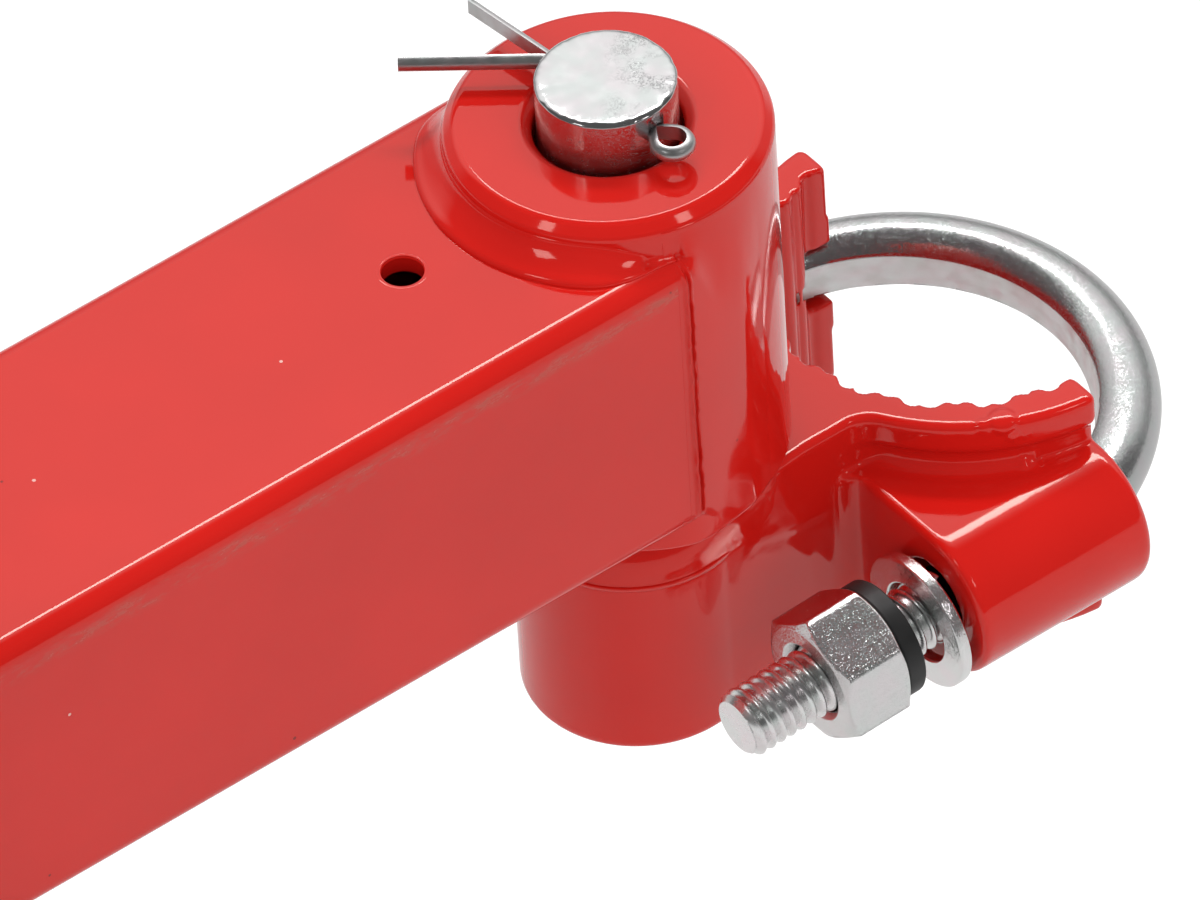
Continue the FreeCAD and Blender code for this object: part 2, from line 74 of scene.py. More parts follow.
def mapped(tree, value, low, high, to_low=0.0, to_high=1.0, **settings):
    """The output of a value carried over from one range to another."""
    values = {"Value": value, "From Min": low, "From Max": high, "To Min": to_low, "To Max": to_high}
    return put(tree, "ShaderNodeMapRange", values, **settings).outputs["Result"]


def clouds(tree, place, scale, detail, roughness=0.5, distortion=0.0):
    """The output of a random pattern of soft clouds."""
    values = {"Vector": place, "Scale": scale, "Detail": detail, "Roughness": roughness,
              "Distortion": distortion}
    return put(tree, "ShaderNodeTexNoise", values).outputs["Fac"]


def blended(tree, share, under, over):
    """The output of one colour laid over another by a share."""
    return put(tree, "ShaderNodeMix", {0: share, 6: under, 7: over}, data_type="RGBA").outputs[2]


def scaled(tree, colour, factor):
    """The output of a colour made lighter or darker."""
    made = put(tree, "ShaderNodeVectorMath", {0: colour, "Scale": factor}, operation="SCALE")
    return made.outputs["Vector"]


def object_place(tree):
    """The output of the places on a piece, in its own frame."""
    return tree.nodes.new("ShaderNodeTexCoord").outputs["Object"]


def speck_mask(tree, place, cells_per_metre, size, rarity):
    """Small round spots, one in some of the cells of a random pattern."""
    cells = put(tree, "ShaderNodeTexVoronoi", {"Vector": place, "Scale": cells_per_metre})
    spot = reckon(tree, "LESS_THAN", cells.outputs["Distance"], size)
    pick = put(tree, "ShaderNodeSeparateColor", {"Color": cells.outputs["Color"]})
    rare = reckon(tree, "GREATER_THAN", pick.outputs["Red"], rarity)
    return reckon(tree, "MULTIPLY", spot, rare)


def new_film(name, inputs):
    """A shader node group for a film on a surface, with what it is given and the node for what it makes."""
    group = bpy.data.node_groups.new(name, "ShaderNodeTree")
    for socket, kind, value in inputs:
        made = group.interface.new_socket(socket, in_out="INPUT", socket_type=kind)
        made.default_value = value
    for socket, kind in (("Colour", "NodeSocketColor"), ("Roughness", "NodeSocketFloat"),
                         ("Height", "NodeSocketFloat")):
        group.interface.new_socket(socket, in_out="OUTPUT", socket_type=kind)
    return group, group.nodes.new("NodeGroupInput").outputs, group.nodes.new("NodeGroupOutput")


coat_red = (0.60, 0.0106, 0.0072, 1.0)
coat_shine = (1.0, 0.94, 0.85, 1.0)
coat_ior = 1.5
film_height = 0.000012


def powder_coat_film():
    """The red coat, with slow drifts of tone, orange peel, dust and pits."""
    drifts_per_metre = 30.0
    drift_range = (0.3, 0.7)
    tone_range = (0.94, 1.05)
    roughness_range = (0.05, 0.085)
    pit_red = (0.22, 0.006, 0.005, 1.0)
    pit_depth = 1.5
    dust_pink = (0.75, 0.42, 0.38, 1.0)
    dust_dullness = 0.4
    peel_per_metre = 260.0
    group, given, result = new_film(
        "powder_coat_film", [("Coat", "NodeSocketColor", coat_red), ("Peel", "NodeSocketFloat", 1.0)])
    place = object_place(group)
    drift = clouds(group, place, drifts_per_metre, detail=3.0)
    toned = scaled(group, given["Coat"], mapped(group, drift, *drift_range, *tone_range))
    pits = speck_mask(group, place, cells_per_metre=190.0, size=0.055, rarity=0.93)
    dust = speck_mask(group, place, cells_per_metre=150.0, size=0.04, rarity=0.9)
    sheen = mapped(group, drift, *drift_range, *roughness_range)
    swell = reckon(group, "MULTIPLY", clouds(group, place, peel_per_metre, detail=2.0), given["Peel"])
    feed(group, result, {
        "Colour": blended(group, dust, blended(group, pits, toned, pit_red), dust_pink),
        "Roughness": reckon(group, "ADD", sheen, reckon(group, "MULTIPLY", dust, dust_dullness)),
        "Height": reckon(group, "SUBTRACT", swell, reckon(group, "MULTIPLY", pits, pit_depth))})
    return group


coat_film = powder_coat_film()


def new_material(name):
    """An empty material with its node tree and its surface node."""
    material = bpy.data.materials.new(name)
    material.use_nodes = True
    tree = material.node_tree
    return material, tree, tree.nodes["Principled BSDF"]


def film_material(name, group, values):
    """A material whose colour, roughness and fine height come from a film."""
    material, tree, surface = new_material(name)
    film = put(tree, "ShaderNodeGroup", values, node_tree=group).outputs
    bump = put(tree, "ShaderNodeBump", {"Strength": 1.0, "Distance": film_height, "Height": film["Height"]})
    feed(tree, surface, {"Base Color": film["Colour"], "Roughness": film["Roughness"],
                         "Normal": bump.outputs["Normal"]})
    return material, tree, surface


def powder_coat(name, peel):
    """The finish of every painted piece, with more or less orange peel."""
    material, tree, surface = film_material(name, coat_film, {"Coat": coat_red, "Peel": peel})
    feed(tree, surface, {"IOR": coat_ior, "Specular Tint": coat_shine})
    return material


def object_of(bm, name):
    """A bmesh made an object of the scene."""
    mesh = bpy.data.meshes.new(name)
    bm.to_mesh(mesh)
    bm.free()
    made = bpy.data.objects.new(name, mesh)
    bpy.context.scene.collection.objects.link(made)
    return made


def drop(made):
    """Takes an object that was only a tool out of the scene."""
    mesh = made.data
    bpy.data.objects.remove(made)
    bpy.data.meshes.remove(mesh)


def piece_from(bm, name, materials, body):
    """Makes a finished piece of a bmesh: smooth, coated and riding on a body of the frame."""
    piece = object_of(bm, name)
    piece.data.shade_smooth()
    for material in materials:
        piece.data.materials.append(material)
    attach(piece, body)
    return piece


def keep_flats_flat(piece, weight):
    """Weights the shading by face area, so that flats stay flat beside their rounded edges."""
    weights = piece.modifiers.new("flat_faces", "WEIGHTED_NORMAL")
    weights.mode = "FACE_AREA"
    weights.weight = weight


def soft_step(value, start, end):
    """Rises smoothly from 0 to 1 between two values."""
    share = min(1.0, max(0.0, (value - start) / (end - start)))
    return share * share * (3 - 2 * share)


z_axis = (0.0, 0.0, 1.0)
merge_distance = 0.000001
bore_sides = 40


def lathe(profile, axis_point, axis, steps, closed=True):
    """A piece turned from an outline of distances along an axis and out from it."""
    along = Vector(axis)
    out = along.orthogonal().normalized()
    bm = bmesh.new()
    verts = [bm.verts.new(Vector(axis_point) + along * reach + out * radius) for reach, radius in profile]
    ends = verts[1:] + verts[:1] if closed else verts[1:]
    edges = [bm.edges.new(pair) for pair in zip(verts, ends)]
    bmesh.ops.spin(bm, geom=verts + edges, cent=axis_point, axis=axis, angle=2 * math.pi, steps=steps,
                   use_merge=True)
    bmesh.ops.remove_doubles(bm, verts=bm.verts, dist=merge_distance)
    bmesh.ops.recalc_face_normals(bm, faces=bm.faces)
    return bm


def worked(bm, kind, **settings):
    """The shape that a modifier makes of a bmesh."""
    blank = object_of(bm, "blank")
    tool = blank.modifiers.new("tool", kind)
    for name, value in settings.items():
        setattr(tool, name, value)
    shaped = blank.evaluated_get(bpy.context.evaluated_depsgraph_get())
    result = bmesh.new()
    result.from_mesh(shaped.to_mesh())
    shaped.to_mesh_clear()
    drop(blank)
    return result


def drilled(bm, start, end, radius):
    """A solid with a round hole bored through it from one point to another."""
    way = Vector(end) - Vector(start)
    turn = way.to_track_quat("Z", "Y").to_matrix().to_4x4()
    middle = Matrix.Translation((Vector(start) + Vector(end)) / 2)
    bore = bmesh.new()
    bmesh.ops.create_cone(bore, cap_ends=True, segments=bore_sides, radius1=radius, radius2=radius,
                          depth=way.length, matrix=middle @ turn)
    drill = object_of(bore, "drill")
    result = worked(bm, "BOOLEAN", operation="DIFFERENCE", object=drill)
    drop(drill)
    return result


def joined(parts):
    """Several bmeshes put together in one."""
    whole = bmesh.new()
    for part in parts:
        mesh = bpy.data.meshes.new("part")
        part.to_mesh(mesh)
        part.free()
        whole.from_mesh(mesh)
        bpy.data.meshes.remove(mesh)
    return whole


pivot_x = 0.0594
pivot_foot = (pivot_x, 0.0, 0.0)
turned_steps = 192
casting_merge = 0.00001
casting_grain = 0.0004
casting_smoothing_rounds = 2
casting_smoothing_share = 0.5
casting_kept_share = 0.52
casting_flat_weight = 50
casting_peel = 1.6
shoulder_radius = 0.0168
shoulder_low = 0.0110
neck_radius = 0.0130
shoulder_high = 0.0180
shoulder_points = 10
shoulder_sides = 64
web_corners = [(-0.0260, 0.0152, 0.0058), (-0.0140, 0.0157, 0.0058),
               (-0.0260, 0.0143, 0.0205), (-0.0140, 0.0146, 0.0205)]
filler_bore = 0.0105
filler_bore_high = 0.03
ledge_outline = [(0.01020, 0.01620), (0.01020, 0.01710), (0.01080, 0.01720), (0.01095, 0.01721),
                 (0.01104, 0.01718), (0.01111, 0.01710), (0.01115, 0.01698), (0.01117, 0.01684),
                 (0.011175, 0.01668), (0.01110, 0.01620)]
coat_blisters = [
    (Vector((0.0149, 0.0287, 0.0208)), 0.0019, 0.00040),
    (Vector((0.0176, 0.0276, 0.0206)), 0.0009, 0.00030),
    (Vector((0.0143, 0.0299, 0.0183)), 0.0008, 0.00040),
    (Vector((0.0127, 0.0305, 0.0183)), 0.0007, 0.00035),
    (Vector((0.0131, 0.0312, 0.0131)), 0.0008, 0.00050),
    (Vector((0.0112, 0.0318, 0.0136)), 0.0007, 0.00050),
    (Vector((0.0094, 0.0325, 0.0143)), 0.0006, 0.00045),
]
blister_edge = 0.0005


def shoulder_filler():
    """The boss's round shoulder drawn out to the full section of the web, bored for the pin."""
    bm = bmesh.new()
    for side_number in range(shoulder_sides):
        angle = 2 * math.pi * side_number / shoulder_sides
        for point in range(shoulder_points + 1):
            turn = math.pi / 2 * point / shoulder_points
            radius = neck_radius + (shoulder_radius - neck_radius) * math.cos(turn)
            z = shoulder_low + (shoulder_high - shoulder_low) * math.sin(turn)
            bm.verts.new((pivot_x + radius * math.cos(angle), radius * math.sin(angle), z))
    for x, half_width, z in web_corners:
        for y in (half_width, -half_width):
            bm.verts.new((pivot_x + x, y, z))
    hull = bmesh.ops.convex_hull(bm, input=bm.verts)
    inner = [item for item in hull["geom_interior"] if isinstance(item, bmesh.types.BMVert)]
    bmesh.ops.delete(bm, geom=inner, context="VERTS")
    bmesh.ops.recalc_face_normals(bm, faces=bm.faces)
    return drilled(bm, pivot_foot, (pivot_x, 0.0, filler_bore_high), filler_bore)


def coated_casting():
    """A closed even skin over a copy of the CAD casting and its filler, smoothed and blistered."""
    bm = bmesh.new()
    bm.from_mesh(cad["clamp_casting"].data)
    bmesh.ops.remove_doubles(bm, verts=bm.verts, dist=casting_merge)
    skin = worked(joined([bm, shoulder_filler()]), "REMESH", mode="VOXEL", voxel_size=casting_grain)
    for smoothing_round in range(casting_smoothing_rounds):
        bmesh.ops.smooth_vert(skin, verts=skin.verts, factor=casting_smoothing_share,
                              use_axis_x=True, use_axis_y=True, use_axis_z=True)
    skin.normal_update()
    for vert in skin.verts:
        lift = 0.0
        for centre, spread, height in coat_blisters:
            distance = (vert.co - centre).length
            lift += height * (1 - soft_step(distance, spread - blister_edge, spread + blister_edge))
        if lift > 0.0:
            vert.co += vert.normal * lift
    return skin


cast_coat = powder_coat("cast_powder_coat", casting_peel)
casting = piece_from(coated_casting(), "clamp_casting_coated", [cast_coat], "clamp")
casting_thinned = casting.modifiers.new("thinned", "DECIMATE")
casting_thinned.ratio = casting_kept_share
keep_flats_flat(casting, casting_flat_weight)
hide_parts("clamp_casting")
ledge = lathe(ledge_outline, pivot_foot, z_axis, turned_steps)
piece_from(ledge, "boss_edge_ledge", [cast_coat], "clamp")


# Pivot pin and split pin
# A bright zinc-plated pin stands in the boss and carries the arm's sleeve. A split pin of plain half-round
# steel wire goes through its head, with one leg straight and one leg bent aside.

def scratch_mask(tree, place, turn, length, width):
    """Thin straight scratches in one direction, some long and some broken off."""
    scratch_edge = (0.62, 0.72)
    along = put(tree, "ShaderNodeMapping", {"Vector": place, "Rotation": turn,
                                            "Scale": (1 / length, 1 / width, 1 / width)})
    return mapped(tree, clouds(tree, along.outputs["Vector"], scale=1.0, detail=2.0), *scratch_edge)


def vector_reckon(tree, operation, output, first, second):
    """The output of a calculation with two directions or places."""
    return put(tree, "ShaderNodeVectorMath", {0: first, 1: second}, operation=operation).outputs[output]


def zinc_plate_film():
    """Zinc plate, with faint tints, dull patches, fine grain, slightly tilted crystals and scratches."""
    tints_per_metre = 240.0
    tints = [(0.36, (0.78, 0.81, 0.795, 1.0)), (0.66, (0.825, 0.79, 0.80, 1.0))]
    patches_per_metre = 420.0
    patch_range = (0.35, 0.65)
    patch_dullness = (0.8, 1.25)
    grains_per_metre = 2600.0
    crystals_per_metre = 7000.0
    level_tilt = (0.5, 0.5, 0.5)
    scratch_ways = [((0.3, 0.2, 0.7), 0.006, 0.00016), ((1.2, -0.7, 1.9), 0.004, 0.00014)]
    group, given, result = new_film(
        "zinc_film",
        [(socket, "NodeSocketFloat", 0.0) for socket in ("Tone", "Dull", "Grain", "Spangle", "Scratches")])
    place = object_place(group)
    hues = put(group, "ShaderNodeValToRGB", {"Fac": clouds(group, place, tints_per_metre, detail=2.0)})
    for element, (position, colour) in zip(hues.color_ramp.elements, tints):
        element.position = position
        element.color = colour
    patches = clouds(group, place, patches_per_metre, detail=4.0)
    patch_dull = mapped(group, patches, *patch_range, *patch_dullness)
    grain = clouds(group, place, grains_per_metre, detail=2.0, roughness=0.6)
    grain_height = reckon(group, "MULTIPLY", grain, given["Grain"])
    crystals = put(group, "ShaderNodeTexVoronoi", {"Vector": place, "Scale": crystals_per_metre}).outputs
    inside = vector_reckon(group, "SUBTRACT", "Vector", place, crystals["Position"])
    tilt = vector_reckon(group, "SUBTRACT", "Vector", crystals["Color"], level_tilt)
    facet = vector_reckon(group, "DOT_PRODUCT", "Value", inside, tilt)
    raised = reckon(group, "ADD", grain_height, reckon(group, "MULTIPLY", facet, given["Spangle"]))
    scratches = reckon(group, "MAXIMUM", *[scratch_mask(group, place, *way) for way in scratch_ways])
    scratch_depth = reckon(group, "MULTIPLY", scratches, given["Scratches"])
    feed(group, result, {
        "Colour": scaled(group, hues.outputs["Color"], given["Tone"]),
        "Roughness": reckon(group, "MULTIPLY", patch_dull, given["Dull"]),
        "Height": reckon(group, "SUBTRACT", raised, scratch_depth)})
    return group


zinc_film = zinc_plate_film()


def zinc_plate(name, tone, dull, grain, spangle, scratches):
    """Zinc-plated steel, from mirror bright to satin, with its own grain, spangle and scratches."""
    material, tree, surface = film_material(name, zinc_film, {
        "Tone": tone, "Dull": dull, "Grain": grain, "Spangle": spangle, "Scratches": scratches})
    feed(tree, surface, {"Metallic": 1.0})
    return material


def parts_of(material):
    """The node tree of a film's material, its surface and what its film puts out."""
    tree = material.node_tree
    surface = tree.nodes["Principled BSDF"]
    return tree, surface, surface.inputs["Base Color"].links[0].from_node.outputs


def scuff(material, middle, way):
    """Adds fine dark wrinkles to a zinc finish, on one half of the piece."""
    wrinkles_per_metre = 1300.0
    wrinkle_middle = 0.5
    wrinkle_width = 0.060
    wrinkle_grey = (0.26, 0.26, 0.26, 1.0)
    wrinkle_height = -0.12
    half_edge = (-0.0010, 0.0040)
    patches_per_metre = 260.0
    patch_edge = (0.44, 0.56)
    tree, surface, film = parts_of(material)
    bump = surface.inputs["Normal"].links[0].from_node
    place = object_place(tree)
    wrinkles = clouds(tree, place, wrinkles_per_metre, detail=5.0, roughness=0.65, distortion=0.8)
    beside_line = reckon(tree, "ABSOLUTE", reckon(tree, "SUBTRACT", wrinkles, wrinkle_middle))
    line = mapped(tree, beside_line, 0.0, wrinkle_width, 1.0, 0.0)
    from_middle = vector_reckon(tree, "SUBTRACT", "Vector", place, middle)
    half = mapped(tree, vector_reckon(tree, "DOT_PRODUCT", "Value", from_middle, way), *half_edge)
    worn = mapped(tree, clouds(tree, place, patches_per_metre, detail=3.0), *patch_edge)
    scuffs = reckon(tree, "MULTIPLY", line, reckon(tree, "MULTIPLY", half, worn))
    feed(tree, surface, {"Base Color": blended(tree, scuffs, film["Colour"], wrinkle_grey)})
    feed(tree, bump, {"Height": reckon(tree, "MULTIPLY_ADD", scuffs, wrinkle_height, film["Height"])})


pin_radius = 0.0100
pin_low = -0.0210
pin_high = 0.0936
pin_rounding = 0.0011
pin_rounding_height = 0.0006
pin_rounding_points = 6
pin_wear = 0.00010
pin_wear_zone = 1.5 * pin_rounding
pin_dents_per_metre = 700
pin_scuffed_way = (-0.79, 0.61, 0.0)
pin_hole_radius = 0.0016
pin_hole_z = 0.0894
pin_hole_turn = math.radians(6.5)
upright_limit = 0.3
sharp_angle = math.radians(40)
flat_weight = 80


def turned_pin():
    """The pin with a chamfer below, a worn round edge above and the cross hole for the split pin."""
    outline = [(pin_low, 0.0), (pin_low, pin_radius - pin_rounding), (pin_low + pin_rounding, pin_radius)]
    for point in range(pin_rounding_points + 1):
        angle = math.pi / 2 * point / pin_rounding_points
        outline.append((pin_high - pin_rounding_height * (1 - math.sin(angle)),
                        pin_radius - pin_rounding * (1 - math.cos(angle))))
    outline.append((pin_high, pin_radius - 2 * pin_rounding))
    outline.append((pin_high, 0.0))
    bm = lathe(outline, pivot_foot, z_axis, turned_steps, closed=False)
    for vert in bm.verts:
        radius = math.hypot(vert.co.x - pivot_x, vert.co.y)
        if vert.co.z > pin_high - pin_wear_zone and radius > pin_radius - pin_wear_zone:
            dent = pin_wear * noise.noise(vert.co * pin_dents_per_metre)
            vert.co.x -= dent * (vert.co.x - pivot_x) / radius
            vert.co.y -= dent * vert.co.y / radius
            vert.co.z -= abs(dent)
    hole_reach = Vector((-math.sin(pin_hole_turn), math.cos(pin_hole_turn), 0.0)) * 2 * pin_radius
    hole_middle = Vector((pivot_x, 0.0, pin_hole_z))
    bm = drilled(bm, hole_middle - hole_reach, hole_middle + hole_reach, pin_hole_radius)
    bm.normal_update()
    for face in bm.faces:
        if abs(face.normal.z) < upright_limit:
            face.material_index = 1
    return bm


pin_zinc = zinc_plate("pin_zinc", tone=0.69, dull=0.13, grain=0.1, spangle=0.0, scratches=0.08)
scuff(pin_zinc, pivot_foot, pin_scuffed_way)
pin_side_zinc = zinc_plate("pin_side_zinc", tone=0.74, dull=0.22, grain=1.8, spangle=0.0, scratches=2.0)
pin = piece_from(turned_pin(), "pivot_pin_turned", [pin_zinc, pin_side_zinc], "clamp")
pin.data.set_sharp_from_angle(angle=sharp_angle)
keep_flats_flat(pin, flat_weight)
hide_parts("pivot_pin")
wire_steel = zinc_plate("wire_steel", tone=0.60, dull=0.38, grain=0.4, spangle=0.0, scratches=0.5)
cad["split_pin"].data.materials[0] = wire_steel


# U-bolt
# A round zinc-plated rod bent to a half circle and pressed flat along the inside of the bend. Both legs are
# rolled to a coarse thread at their ends, and the whole bolt droops a little in the barrels.

x_axis = (1.0, 0.0, 0.0)
rod_radius = 0.00525
rod_sides = 72
leg_y = 0.0338
bend_x = 0.0137
bend_steps = 120
bend_margin = 0.0001
flat_depth = 0.00085
flat_lean = math.radians(13.5)
thread_start_x = 0.0300
thread_tip_x = 0.0676
thread_pitch = 0.0018
thread_crest = 0.0051
thread_depth = 0.00105
thread_points = 8
thread_crest_power = 0.6
thread_steps = 48
thread_merge = 0.00002
thread_chamfer = 0.0010
tip_margin = 0.0001
bolt_droop = math.radians(2.2)
bolt_drop = 0.0004
bend_centre = Vector((bend_x, 0.0, 0.0))
bolt_hang = (Matrix.Translation((0.0, 0.0, -bolt_drop)) @ Matrix.Translation(bend_centre)
             @ Matrix.Rotation(bolt_droop, 4, "Y") @ Matrix.Translation(-bend_centre))


def pull_edges(bm, edges, offset):
    """Extrudes a loop of edges by an offset and gives back the new loop."""
    grown = bmesh.ops.extrude_edge_only(bm, edges=edges)["geom"]
    moved = [item for item in grown if isinstance(item, bmesh.types.BMVert)]
    bmesh.ops.translate(bm, verts=moved, vec=offset)
    return [item for item in grown if isinstance(item, bmesh.types.BMEdge)]


def bent_rod():
    """The rod from one thread to the other, with the flat on the inside of its bend."""
    bm = bmesh.new()
    start = Matrix.Translation((thread_start_x, leg_y, 0.0)) @ Matrix.Rotation(math.pi / 2, 4, "Y")
    bmesh.ops.create_circle(bm, cap_ends=False, segments=rod_sides, radius=rod_radius, matrix=start)
    leg = Vector((bend_x - thread_start_x, 0.0, 0.0))
    loop = pull_edges(bm, bm.edges[:], leg)
    turned = bmesh.ops.spin(bm, geom=loop, cent=bend_centre, axis=z_axis, angle=math.pi, steps=bend_steps,
                            use_merge=False)
    last = [item for item in turned["geom_last"] if isinstance(item, bmesh.types.BMEdge)]
    pull_edges(bm, last, -leg)
    bmesh.ops.remove_doubles(bm, verts=bm.verts, dist=merge_distance)
    flat_radius = leg_y - rod_radius + flat_depth
    lean = Matrix.Rotation(flat_lean, 3, "X")
    pressed = set()
    for vert in bm.verts:
        across = lean @ (vert.co - bend_centre)
        reach = math.hypot(across.x, across.y)
        if vert.co.x < bend_x - bend_margin and reach < flat_radius:
            across.x *= flat_radius / reach
            across.y *= flat_radius / reach
            vert.co = lean.inverted() @ across + bend_centre
            pressed.add(vert)
    for face in bm.faces:
        if all(vert in pressed for vert in face.verts):
            face.material_index = 1
    return bm


def roll_thread(bm, side):
    """Adds a rolled thread with round crests, on one leg."""
    axis_point = Vector((thread_start_x, side * leg_y, 0.0))
    ridge = []
    for point in range(thread_points + 1):
        phase = point / thread_points
        rise = (0.5 - 0.5 * math.cos(2 * math.pi * phase)) ** thread_crest_power
        radius = thread_crest - thread_depth + thread_depth * rise
        ridge.append(bm.verts.new(axis_point + Vector((phase * thread_pitch, 0.0, radius))))
    edges = [bm.edges.new(pair) for pair in zip(ridge, ridge[1:])]
    turns = math.ceil((thread_tip_x - thread_start_x) / thread_pitch)
    bmesh.ops.spin(bm, geom=ridge + edges, cent=axis_point, axis=x_axis, angle=2 * math.pi * turns,
                   dvec=(thread_pitch / thread_steps, 0.0, 0.0), steps=turns * thread_steps, use_merge=False)


def threads():
    """Both threads, cut off at the tip, turned to a cone there and closed by a flat end."""
    bm = bmesh.new()
    for side in (1, -1):
        roll_thread(bm, side)
    bmesh.ops.remove_doubles(bm, verts=bm.verts, dist=thread_merge)
    everything = bm.verts[:] + bm.edges[:] + bm.faces[:]
    bmesh.ops.bisect_plane(bm, geom=everything, dist=merge_distance, plane_co=(thread_tip_x, 0.0, 0.0),
                           plane_no=x_axis, clear_outer=True)
    for vert in bm.verts:
        axis_y = leg_y if vert.co.y > 0 else -leg_y
        radius = math.hypot(vert.co.y - axis_y, vert.co.z)
        room = thread_crest - thread_chamfer + (thread_tip_x - vert.co.x)
        if radius > room:
            vert.co.y = axis_y + (vert.co.y - axis_y) * room / radius
            vert.co.z *= room / radius
    rims = [edge for edge in bm.edges if edge.is_boundary and edge.verts[0].co.x > thread_tip_x - tip_margin]
    bmesh.ops.holes_fill(bm, edges=rims, sides=0)
    for face in bm.faces:
        face.material_index = 2
    return bm


bolt_zinc = zinc_plate("bolt_zinc", tone=0.55, dull=0.11, grain=0.8, spangle=9000.0, scratches=0.6)
bolt_flat_zinc = zinc_plate("bolt_flat_zinc", tone=0.80, dull=0.42, grain=1.0, spangle=0.0, scratches=1.2)
thread_zinc = zinc_plate("thread_zinc", tone=0.98, dull=0.25, grain=0.6, spangle=500.0, scratches=0.0)
bolt_shape = joined([bent_rod(), threads()])
bmesh.ops.recalc_face_normals(bolt_shape, faces=bolt_shape.faces)
bmesh.ops.transform(bolt_shape, matrix=bolt_hang, verts=bolt_shape.verts)
u_bolt = piece_from(bolt_shape, "u_bolt_threaded", [bolt_zinc, bolt_flat_zinc, thread_zinc], "clamp")
u_bolt.data.set_sharp_from_angle(angle=sharp_angle)
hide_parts("u_bolt")


# Nuts, lock rings and washers
# On each leg a zinc-plated hexagon nut with chamfered faces stands against a matte black ring, and a loose
# flat washer hangs on the thread in front of the barrel.

def round_corners(bm, offset, segments=3, sharper_than=0.3):
    """Rounds the edges of a bmesh whose faces meet at more than an angle."""
    edges = [edge for edge in bm.edges
             if len(edge.link_faces) == 2 and edge.calc_face_angle() > sharper_than]
    bmesh.ops.bevel(bm, geom=edges, offset=offset, offset_type="OFFSET", segments=segments, profile=0.5,
                    affect="EDGES", clamp_overlap=True, material=-1)


nut_near_x = 0.0436
nut_height = 0.0108
nut_apothem = 0.00915
nut_face_radius = 0.0088
nut_bore = 0.0053
nut_countersink = 0.0062
nut_countersink_depth = 0.0009
nut_cone = math.tan(math.radians(30))
nut_blank_cone = 0.002
nut_rounding = 0.0004
nut_turns = {"near": math.radians(5.8), "far": math.radians(21)}
nut_steps = 96
ring_height = 0.003
ring_outer = 0.009
ring_inner = 0.0055
ring_steps = 96
washer_near_x = 0.0336
washer_height = 0.002
washer_outer = 0.0105
washer_bore = 0.0063
washer_hang = washer_bore - rod_radius
washer_steps = 128
ring_rounding = 0.00035


def hex_nut(leg, turn):
    """A nut turned as a ring whose two outer loops are then drawn out to the six flats and the end cones."""
    corner = nut_apothem / math.cos(math.pi / 6)
    end_x = nut_near_x + nut_height
    outline = [(nut_near_x + nut_countersink_depth, nut_bore), (nut_near_x, nut_countersink),
               (nut_near_x, nut_face_radius), (nut_near_x + nut_blank_cone, corner),
               (end_x - nut_blank_cone, corner), (end_x, nut_face_radius), (end_x, nut_countersink),
               (end_x - nut_countersink_depth, nut_bore)]
    bm = lathe(outline, (0.0, 0.0, 0.0), x_axis, nut_steps)
    for vert in bm.verts:
        if math.hypot(vert.co.y, vert.co.z) > (corner + nut_face_radius) / 2:
            angle = math.atan2(vert.co.z, vert.co.y)
            from_flat = (angle + math.pi / 6) % (math.pi / 3) - math.pi / 6
            reach = nut_apothem / math.cos(from_flat)
            drop_back = (reach - nut_face_radius) * nut_cone
            near_end = vert.co.x < nut_near_x + nut_height / 2
            place_x = nut_near_x + drop_back if near_end else end_x - drop_back
            vert.co = Vector((place_x, reach * math.cos(angle), reach * math.sin(angle)))
    round_corners(bm, nut_rounding)
    place = Matrix.Translation((0.0, leg, 0.0)) @ Matrix.Rotation(turn, 4, "X")
    bmesh.ops.transform(bm, matrix=bolt_hang @ place, verts=bm.verts)
    return bm


def flat_ring(start_x, height, inner, outer, centre, steps):
    """A plain ring with rounded edges on a leg of the bolt."""
    end_x = start_x + height
    bm = lathe([(start_x, inner), (start_x, outer), (end_x, outer), (end_x, inner)], centre, x_axis, steps)
    round_corners(bm, ring_rounding)
    bmesh.ops.transform(bm, matrix=bolt_hang, verts=bm.verts)
    return bm


def matte_black(name):
    """A moulded black ring, a little worn and dusty, with a fine matte grain."""
    wear_per_metre = 320.0
    wear_range = (0.3, 0.7)
    tone_range = (0.006, 0.011)
    roughness_range = (0.44, 0.58)
    grains_per_metre = 5000.0
    grain_height = 0.000015
    material, tree, surface = new_material(name)
    place = object_place(tree)
    wear = clouds(tree, place, wear_per_metre, detail=4.0)
    grain = clouds(tree, place, grains_per_metre, detail=1.0)
    bump = put(tree, "ShaderNodeBump", {"Strength": 1.0, "Distance": grain_height, "Height": grain})
    feed(tree, surface, {"Base Color": mapped(tree, wear, *wear_range, *tone_range),
                         "Roughness": mapped(tree, wear, *wear_range, *roughness_range),
                         "Normal": bump.outputs["Normal"]})
    return material


